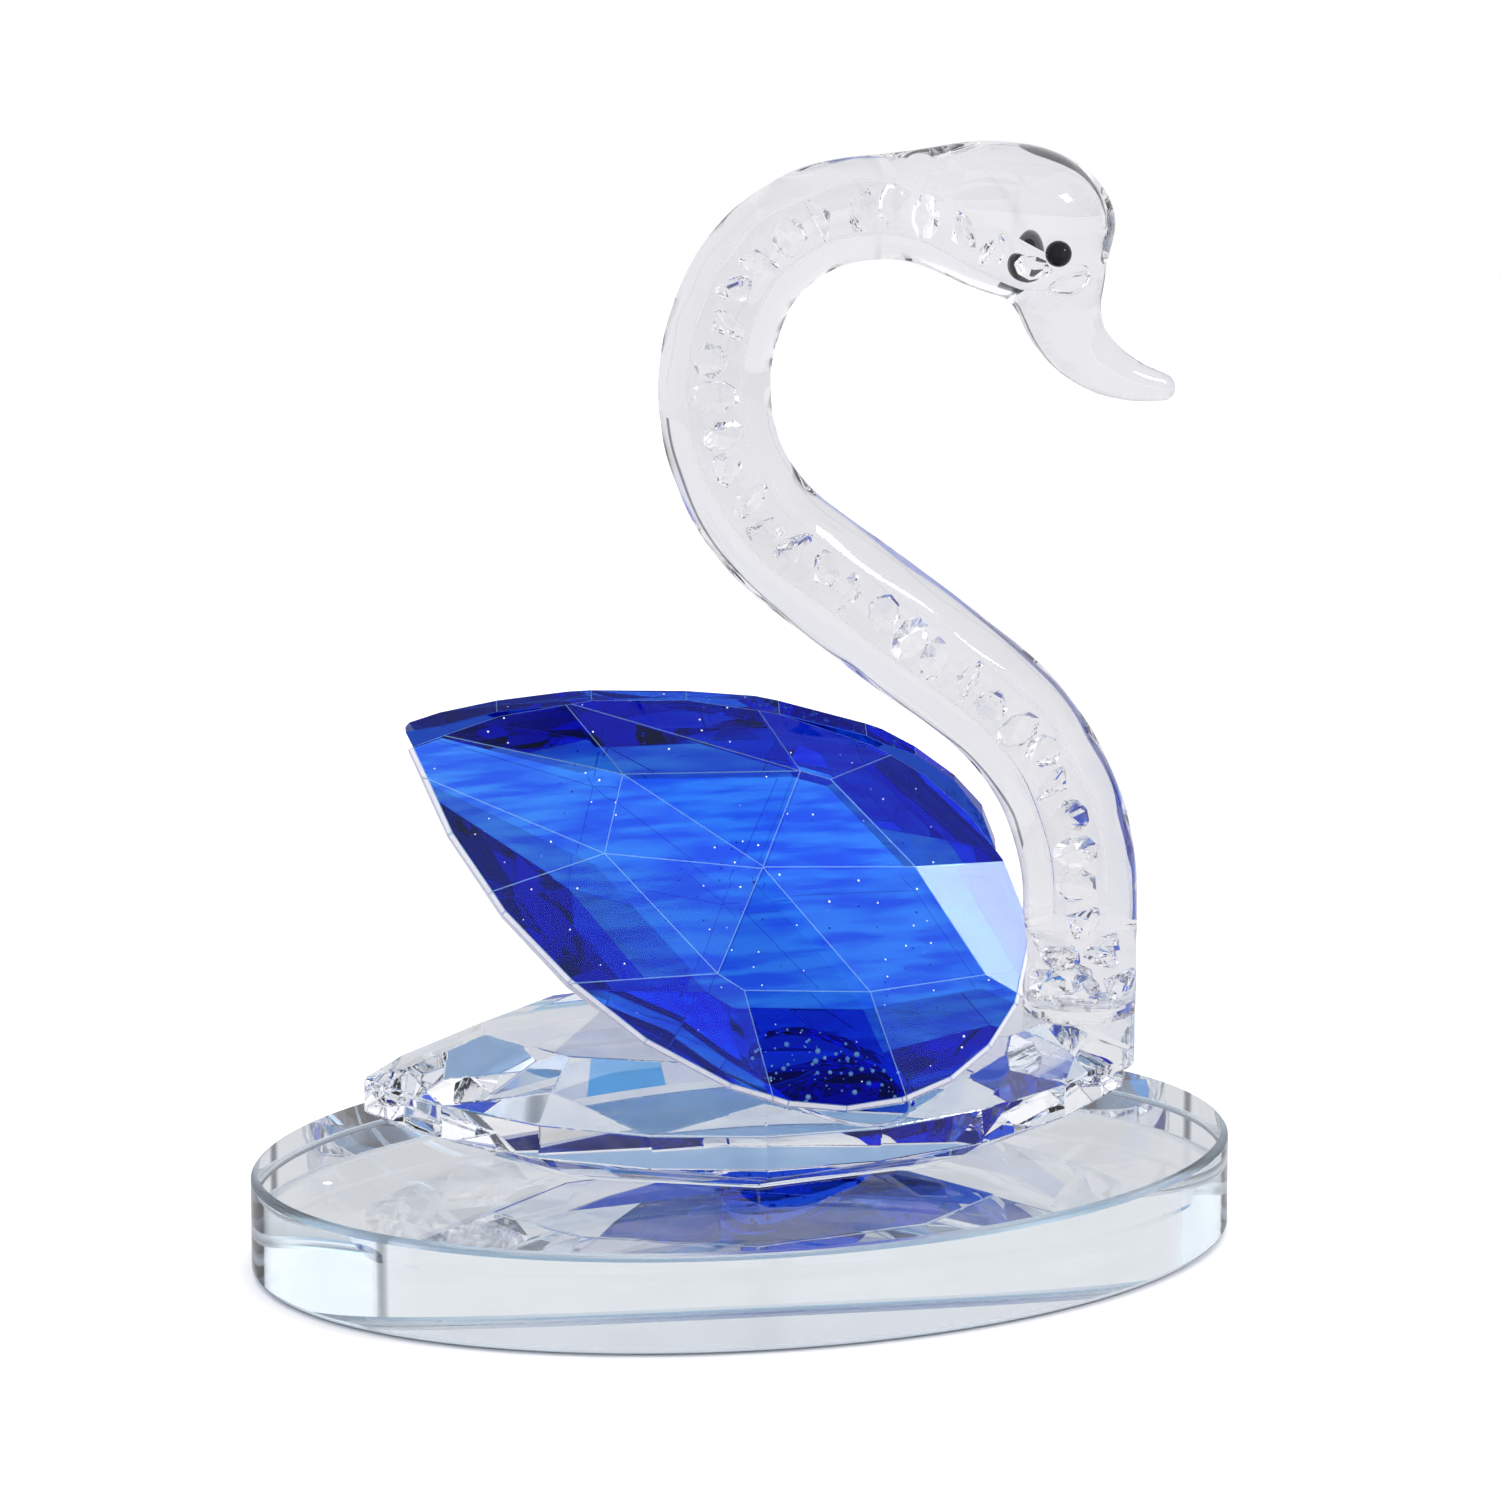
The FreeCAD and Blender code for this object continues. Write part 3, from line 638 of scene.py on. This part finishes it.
def surface_net(distance, low, high, step):
    """Vertices and quads of the surface where a distance field is zero."""
    counts = [int(math.ceil((b - a) / step)) + 1 for a, b in zip(low, high)]
    span = [n - 1 for n in counts]
    field = sampled(distance, low, counts, step)
    inside = field < 0
    total = np.zeros(span, int)
    for i, j, k in CELL_CORNERS:
        total += inside[i : i + span[0], j : j + span[1], k : k + span[2]]
    cells = np.argwhere((total > 0) & (total < len(CELL_CORNERS)))
    numbering = np.full(span, -1)
    numbering[tuple(cells.T)] = np.arange(len(cells))
    vertices = np.array(low) + (cells + crossings(field, cells)) * step
    return vertices, net_quads(inside, numbering)


def slopes(distance, points):
    """The gradient of a distance field at many points."""
    columns = []
    for unit in np.eye(3):
        ahead, behind = points + unit * SLOPE_STEP_MM, points - unit * SLOPE_STEP_MM
        columns.append((distance(ahead) - distance(behind)) / (2 * SLOPE_STEP_MM))
    return np.stack(columns, 1)


def neck_mesh():
    """One smooth skin over the tube, the head and the beak, with the bore inside it."""
    points, quads = surface_net(glass_distance, GRID_LOW_MM, GRID_HIGH_MM, GRID_MM)
    for _ in range(SKIN_PASSES):
        value, slope = glass_distance(points), slopes(glass_distance, points)
        points = points - slope * (value / np.maximum((slope**2).sum(1), LEAST_STEEPNESS))[:, None]
    normals = slopes(glass_distance, points)
    normals /= np.linalg.norm(normals, axis=1)[:, None]
    mesh = bpy.data.meshes.new("neck_glass")
    mesh.from_pydata([tuple(p) for p in points * MM], [], quads.tolist())
    in_bore = np.abs(bore_distance(points)) < BORE_TOUCH_MM
    mesh.polygons.foreach_set("material_index", in_bore[quads].all(1).astype(int))
    mesh.transform(SWAN)
    mesh.polygons.foreach_set("use_smooth", [True] * len(mesh.polygons))
    turned = normals @ np.array(SWAN.to_3x3()).T
    mesh.normals_split_custom_set_from_vertices([tuple(n) for n in turned])
    mesh.update()
    return mesh


# ---------------------------------------------------------------- where the wings and their glue are

# The right wing's pose: toed in a little, leaning inwards at the top, its broad end lowered.
WING_TOE = math.radians(1.8)
WING_LEAN = math.radians(28.8)
WING_DROOP = math.radians(26.0)
WING_TIP_MM = (-38.6, -5.5, 51.0)
WING_LEFT_SHIFT_MM = (0.4, -0.7, -0.6)  # the left wing is the mirror image, moved by this
GLUE_PLACE_MM = (58.5, -15.0)  # along and across the wing from its tip
GLUE_HALF_MM = (10.0, 5.0)


def wing_axes(side):
    """A wing's tip and its directions along, up across and outward; side -1 is the right wing."""
    along = Vector((math.cos(WING_TOE), math.sin(WING_TOE), 0))
    outward = Vector((math.sin(WING_TOE) * math.cos(WING_LEAN),
                      -math.cos(WING_TOE) * math.cos(WING_LEAN), math.sin(WING_LEAN)))
    up = outward.cross(along)
    axis = along * math.cos(WING_DROOP) - up * math.sin(WING_DROOP)
    across = along * math.sin(WING_DROOP) + up * math.cos(WING_DROOP)
    tip = Vector(WING_TIP_MM)
    if side > 0:
        flip = Matrix.Diagonal((1, -1, 1))
        axis, across, outward = flip @ axis, flip @ across, flip @ outward
        tip = flip @ tip + Vector(WING_LEFT_SHIFT_MM)
    turn = SWAN.to_3x3()
    return SWAN @ (tip * MM), turn @ axis, turn @ across, turn @ outward


def glue_column(side):
    """The middle and the two half-axes of the glue behind a wing."""
    tip, axis, across, _ = wing_axes(side)
    centre = tip + (axis * GLUE_PLACE_MM[0] + across * GLUE_PLACE_MM[1]) * MM
    return centre, axis * GLUE_HALF_MM[0] * MM, across * GLUE_HALF_MM[1] * MM


# ---------------------------------------------------------------- materials

# A colour and a density for each glass: light takes on more of the colour the further it goes.
BODY_DEPTH = ((0.93, 0.96, 1.0, 1), 4.0)
PLATE_DEPTH = ((0.55, 0.88, 1.0, 1), 1.5)
BLUE_DEPTH = ((0.0, 0.6, 0.98, 1), 55.0)
GLUE_COLUMNS = tuple(glue_column(side) for side in SIDES.values())
CRYSTAL_INDEX = 1.52
PLATE_INDEX = 1.5
GLUE_INDEX = 1.45
BODY_GLASS = glass_material("clear_crystal", CLEAR, CRYSTAL_INDEX, 0.01 * MM, 60.0, *BODY_DEPTH,
                            columns=GLUE_COLUMNS)
BODY_EDGE = glass_material("body_edges", CLEAR, CRYSTAL_INDEX, 0.03 * MM, 900.0, *BODY_DEPTH)
BODY_CONTACT = contact_material("body_contact", *BODY_DEPTH)
PLATE_GLASS = glass_material("plate_glass", CLEAR, PLATE_INDEX, 0.005 * MM, 30.0, *PLATE_DEPTH,
                             specks=60.0)
PLATE_MIRROR = glass_material("plate_underside", (0.93, 0.95, 0.97, 1), PLATE_INDEX, 0.005 * MM, 30.0,
                              *PLATE_DEPTH, mirror=0.9)
PLATE_RIM = glass_material("plate_bevels", (0.95, 0.98, 1.0, 1), PLATE_INDEX, 0.01 * MM, 400.0,
                           *PLATE_DEPTH, frost=0.5, ground=0.3)
PLATE_CONTACT = contact_material("plate_contact", *PLATE_DEPTH)

WING_GLASS = glass_material("wing_crystal", CLEAR, CRYSTAL_INDEX, 0.01 * MM, 60.0, *BLUE_DEPTH,
                            specks=560.0, shine=(0.35, 0.45, 0.7, 1))
WING_EDGE = glass_material("wing_edges", (0.4, 0.72, 1.0, 1), CRYSTAL_INDEX, 0.05 * MM, 900.0,
                           *BLUE_DEPTH, mirror=0.35, frost=0.6, ground=0.3, shine=(0.5, 0.7, 1.0, 1))
# A pale opaque band over each wing's lower front rim and the underside of its girdle: a painted
# highlight.
WING_RIM_HIGHLIGHT = solid_material("painted_rim_highlight", (0.86, 0.86, 0.94, 1), (0.76, 0.76, 0.88, 1), 0.45, 900.0)
COAT_BLUE = (0.06, 0.27, 0.86, 1)
COAT_DEEP = (0.02, 0.11, 0.78, 1)
# The coat's colour seen from outside each wing. Both wings wear the same coat, and the far wing's colour
# is darkened as painted shade.
COAT_OUTSIDES_FAR_SHADED = {-1: (0.05, 0.4, 1.0, 1), 1: (0.03, 0.1, 0.6, 1)}  # the far wing's is darker: painted shade
COAT_SHINE = (0.15, 0.4, 1.0, 1)
COAT_STREAKS = (1, 6, 9)
GLUED_BLUE = (0.02, 0.1, 0.85, 1)


def wing_coat(side):
    """The blue coat on a wing's back, which is a dark window where glue touches it. From outside, the
    far wing's coat carries painted shade.
    """
    return glass_material("blue_coat", COAT_BLUE, CRYSTAL_INDEX, 0.03 * MM, 60.0, *BLUE_DEPTH,
                          mirror=0.85, streaks=COAT_STREAKS, low=COAT_DEEP, columns=(glue_column(side),),
                          through=GLUED_BLUE, outside=COAT_OUTSIDES_FAR_SHADED[side], shine=COAT_SHINE)


WING_COATS = {side: wing_coat(side) for side in SIDES.values()}

# The clear fill round the stones bends light too, so the walls and the stones in it are given
# their index divided by the fill's.
TUBE_INDEX = 1.48
STONE_INDEX = 1.85
FILL_INDEX = 1.37
BLOWN_GLASS = glass_material("blown_glass", CLEAR, TUBE_INDEX, 0.01 * MM, 120.0)
BORE_WALL = glass_material("bore_wall", CLEAR, TUBE_INDEX / FILL_INDEX, 0.01 * MM, 200.0)
STONE_GLASS = glass_material("stone_glass", CLEAR, STONE_INDEX / FILL_INDEX, 0.01 * MM, 300.0)

GLUE_CLEAR = contact_material("clear_adhesive")
GLUE_WALL = glass_material("adhesive_edge", (0.97, 0.98, 1.0, 1), GLUE_INDEX, 0.05 * MM, 400.0)
# The air bubbles are opaque, and their pale and deep blues are painted sheen.
PAINTED_BUBBLE_SHEEN = solid_material("painted_bubble_sheen", (0.5, 0.78, 1.0, 1), (0.12, 0.35, 0.95, 1), 0.15, 900.0)
EYE_BLACK = solid_material("black_glass", (0.012, 0.012, 0.014, 1), (0.004, 0.004, 0.005, 1), 0.04,
                           400.0, ior=1.25)


# ---------------------------------------------------------------- pieces

EYES_MM = {-1: (34.9, -8.1, 107.7), 1: (32.8, 8.3, 106.0)}  # the left bead sits further back
EYE_RADIUS = 1.5 * MM
BUBBLE_COUNT = 90
BUBBLE_LEAST = 0.08 * MM
BUBBLE_RANGE = 0.3 * MM
BUBBLE_SPREAD = 0.9  # share of the glue's area that holds bubbles
BUBBLE_STAND_OFF = 1.1  # radii from a bubble's middle to the wing
BODY_GLUE_SLOT = 2
GLUE_WALL_SLOT = 1
FOOT_FACING = 0.999  # the body's flat foot faces straight down to within this


def eye_mesh(side):
    """A glass bead, pressed a little into the head."""
    bm = bmesh.new()
    bmesh.ops.create_uvsphere(bm, u_segments=48, v_segments=32, radius=EYE_RADIUS)
    for face in bm.faces:
        face.smooth = True
    mesh = bpy.data.meshes.new("eye")
    bm.to_mesh(mesh)
    bm.free()
    mesh.transform(SWAN @ Matrix.Translation(Vector(EYES_MM[side]) * MM))
    return mesh


def bubbles_mesh(wing, side, rng):
    """Air bubbles caught in the glue, up against a wing's back."""
    centre, along, across = glue_column(side)
    outward = wing_axes(side)[3]
    bm = bmesh.new()
    bm.from_mesh(wing)
    surface = BVHTree.FromBMesh(bm)
    bm.clear()
    for _ in range(BUBBLE_COUNT):
        turn, out = rng.uniform(0, 2 * math.pi), math.sqrt(rng.uniform(0, BUBBLE_SPREAD))
        radius = BUBBLE_LEAST + BUBBLE_RANGE * rng.uniform(0, 1) ** 3
        place = centre + (along * math.cos(turn) + across * math.sin(turn)) * out
        back = surface.ray_cast(place, -outward)[0]
        if back is None:
            continue
        place = back + outward * radius * BUBBLE_STAND_OFF
        bmesh.ops.create_icosphere(bm, subdivisions=2, radius=radius, matrix=Matrix.Translation(place))
    for face in bm.faces:
        face.smooth = True
    mesh = bpy.data.meshes.new("bubbles")
    bm.to_mesh(mesh)
    bm.free()
    return mesh


def build_plate_and_body():
    """The oval plate and the almond-shaped stone that is glued to it."""
    plate_looks = (PLATE_GLASS, PLATE_MIRROR, PLATE_CONTACT, PLATE_RIM)
    new_piece("oval_plate", plate_mesh(), plate_looks, "base_plate", slot="clear_crystal")
    body = polished_copy("body_crystal")
    turn_some_faces(body, BODY_GLUE_SLOT, lambda face: face.normal.z < -FOOT_FACING)
    body_looks = (BODY_GLASS, BODY_EDGE, BODY_CONTACT)
    new_piece("faceted_body", body, body_looks, "body_crystal", slot="clear_crystal")


def build_side(name, side, rng):
    """One wing with its coat, its pale rim (a painted highlight), glue and bubbles, and the eye on the
    same side.
    """
    outward = wing_axes(side)[3]

    def on_back(face):
        return face.normal.dot(outward) < -FACET_FACING

    def under_girdle(face):
        return abs(face.normal.dot(outward)) < GIRDLE_FACING and face.normal.z < 0

    def on_glue_wall(face):
        return abs(face.normal.dot(outward)) < FACET_FACING

    wing = polished_copy(f"wing_{name}", outward)
    turn_some_faces(wing, COAT_SLOT, on_back)
    # The underside of the girdle takes the pale rim, a painted highlight.
    turn_some_faces(wing, RIM_SLOT, under_girdle)
    looks = (WING_GLASS, WING_EDGE, WING_COATS[side], WING_RIM_HIGHLIGHT)
    new_piece(f"faceted_wing_{name}", wing, looks, f"wing_{name}", slot="blue_crystal")
    new_piece(f"eye_bead_{name}", eye_mesh(side), (EYE_BLACK,), f"eye_{name}", slot="black_glass")
    glue = drawn_in(f"wing_glue_{name}")
    turn_some_faces(glue, GLUE_WALL_SLOT, on_glue_wall)
    looks = (GLUE_CLEAR, GLUE_WALL)
    new_piece(f"set_wing_glue_{name}", glue, looks, f"wing_glue_{name}", slot="clear_adhesive")
    bubbles = bubbles_mesh(wing, side, rng)
    # The bubbles' colour is painted sheen.
    new_piece(f"glue_bubbles_{name}", bubbles, (PAINTED_BUBBLE_SHEEN,), slot="clear_adhesive")


def build_neck():
    """The blown neck, head and beak in one skin, what holds them down, and the stones inside."""
    looks = (BLOWN_GLASS, BORE_WALL)
    new_piece("neck_glass", neck_mesh(), looks, "neck_tube", "head", "beak", slot="blown_glass")
    film = drawn_in("body_glue")
    new_piece("set_body_glue", film, (GLUE_CLEAR,), "body_glue", slot="clear_adhesive")
    for node in ("neck_glue", "foot_plug"):
        new_piece(f"set_{node}", drawn_in(node), (GLUE_WALL,), node, slot="clear_adhesive")
    for name, node in NODES.items():
        if "stone" in name:
            node.data.materials.clear()
            node.data.materials.append(STONE_GLASS)


def build_pieces():
    """Every shown piece of the figurine."""
    build_plate_and_body()
    rng = np.random.default_rng(SEED)
    for name, side in SIDES.items():
        build_side(name, side, rng)
    build_neck()


# ---------------------------------------------------------------- studio

CAMERA_PLACE = (-0.27012, -1.19691, 0.44145)
CAMERA_PITCH = math.radians(90 - 17.27)
CAMERA_TURN = math.radians(-12.76)
CAMERA_NEAR = 0.05
CAMERA_FAR = 30.0
CAMERA_LENS_MM = 269.96
SENSOR_WIDTH_MM = 36.0

FLOOR_RADIUS = 0.45
FLOOR_DROP = 0.2 * MM
FLOOR_LIGHT = (0.96, 0.96, 0.96, 1)
FLOOR_DARK = (0.94, 0.94, 0.945, 1)
FLOOR_IN_GLASS = (0.5, 0.5, 0.515, 1)

TENT_STRENGTH = 1.35
TENT_GAPS = 3.0
GAP_TURN = 1.554  # radians
GAP_GREY = (0.15, 0.16, 0.18, 1)
GAP_WIDTH = 0.012
TENT_LOW = (0.97, 0.97, 1.0, 1)
TENT_TOP = (0.9, 0.9, 0.93, 1)
TENT_BACK = (0.62, 0.62, 0.63, 1)  # on the swan's left, the far side


def make_camera():
    """A long lens on the swan's right, a little above it and towards its tail."""
    data = bpy.data.cameras.new("camera")
    data.lens = CAMERA_LENS_MM
    data.sensor_width = SENSOR_WIDTH_MM
    data.clip_start = CAMERA_NEAR
    data.clip_end = CAMERA_FAR
    camera = bpy.data.objects.new("camera", data)
    camera.location = CAMERA_PLACE
    camera.rotation_euler = (CAMERA_PITCH, 0, CAMERA_TURN)
    bpy.context.scene.collection.objects.link(camera)
    bpy.context.scene.camera = camera


def make_floor():
    """A plain pale sweep for the swan to stand on, greyer to rays that aren't the camera's own."""
    bm = bmesh.new()
    bmesh.ops.create_circle(bm, cap_ends=True, cap_tris=False, segments=96, radius=FLOOR_RADIUS)
    mesh = bpy.data.meshes.new("floor")
    bm.to_mesh(mesh)
    bm.free()
    material, tree = new_material("floor_white")
    surface = add(tree, "ShaderNodeBsdfPrincipled", Roughness=0.9)
    surface.inputs["Specular IOR Level"].default_value = 0.0
    mottle = noise(tree, 3.0)
    colours = ramp(tree, mottle.outputs["Fac"], ((0.3, FLOOR_DARK), (0.7, FLOOR_LIGHT)))
    path = tree.nodes.new("ShaderNodeLightPath")
    seen = path.outputs["Is Camera Ray"]
    shade = colour_mix(tree, "MIX", seen, FLOOR_IN_GLASS, colours.outputs["Color"])
    tree.links.new(shade, surface.inputs["Base Color"])
    finished(tree, surface.outputs["BSDF"])
    mesh.materials.append(material)
    floor = bpy.data.objects.new("floor", mesh)
    floor.location = (0, 0, -FLOOR_DROP)
    bpy.context.scene.collection.objects.link(floor)


def half_up(tree, value):
    """A number from -1..1 brought to 0..1."""
    return number(tree, "ADD", number(tree, "MULTIPLY", value, 0.5), 0.5)


def make_world():
    """A white light tent with a few darker gaps, which draw thin lines in the glass.

    The camera's own rays see plain white in its place.
    """
    world = bpy.data.worlds.new("light_tent")
    bpy.context.scene.world = world
    world.use_nodes = True
    tree = world.node_tree
    tree.nodes.clear()
    place = tree.nodes.new("ShaderNodeTexCoord")
    split = tree.nodes.new("ShaderNodeSeparateXYZ")
    tree.links.new(place.outputs["Generated"], split.inputs["Vector"])

    around = number(tree, "ARCTAN2", split.outputs["Y"], split.outputs["X"])
    turned = number(tree, "SUBTRACT", around, GAP_TURN)
    bands = number(tree, "COSINE", number(tree, "MULTIPLY", turned, TENT_GAPS))
    gaps = ramp(tree, half_up(tree, bands), ((0.0, GAP_GREY), (GAP_WIDTH, CLEAR)))
    height = ramp(tree, half_up(tree, split.outputs["Z"]),
                  ((0.45, TENT_LOW), (0.75, CLEAR), (0.97, TENT_TOP)))
    cloth = colour_mix(tree, "MULTIPLY", 1.0, gaps.outputs["Color"], height.outputs["Color"])
    front = ramp(tree, half_up(tree, split.outputs["Y"]), ((0.1, CLEAR), (0.5, TENT_BACK)))
    lit = colour_mix(tree, "MULTIPLY", 1.0, cloth, front.outputs["Color"])
    tent = add(tree, "ShaderNodeBackground", Strength=TENT_STRENGTH)
    tree.links.new(lit, tent.inputs["Color"])
    plain = add(tree, "ShaderNodeBackground", Color=CLEAR, Strength=1.0)
    path = tree.nodes.new("ShaderNodeLightPath")
    seen = path.outputs["Is Camera Ray"]
    shown = mixed(tree, seen, tent.outputs["Background"], plain.outputs["Background"])
    output = tree.nodes.new("ShaderNodeOutputWorld")
    tree.links.new(shown, output.inputs["Surface"])


def make_light(name, place, target, size, watts, seen):
    """A soft box aimed at a point. It never shows through glass, which reflects it if seen is set."""
    data = bpy.data.lights.new(name, "AREA")
    data.shape = "RECTANGLE"
    data.size = size
    data.size_y = size
    data.energy = watts
    light = bpy.data.objects.new(name, data)
    light.location = place
    light.rotation_euler = (Vector(target) - Vector(place)).to_track_quat("-Z", "Y").to_euler()
    light.visible_transmission = False
    light.visible_glossy = seen
    bpy.context.scene.collection.objects.link(light)


def set_light_paths():
    """Enough bounces for light to get through the neck, its stones and both wings."""
    cycles = bpy.context.scene.cycles
    cycles.max_bounces = 40
    cycles.transmission_bounces = 40
    cycles.glossy_bounces = 12
    cycles.transparent_max_bounces = 16
    cycles.caustics_refractive = True
    cycles.caustics_reflective = True
    cycles.sample_clamp_indirect = 8.0


def set_plain_colours():
    """Colours as they are, with no film curve over them."""
    bpy.context.scene.view_settings.view_transform = "Standard"


build_pieces()
make_camera()
make_floor()
make_world()
make_light("overhead", (0.0, 0.1, 1.4), target=(0, 0, 0), size=1.2, watts=14.0, seen=False)
make_light("key", (0.66, -0.41, 0.63), target=(0, 0, 0.04), size=0.16, watts=2.3, seen=True)
set_light_paths()
set_plain_colours()
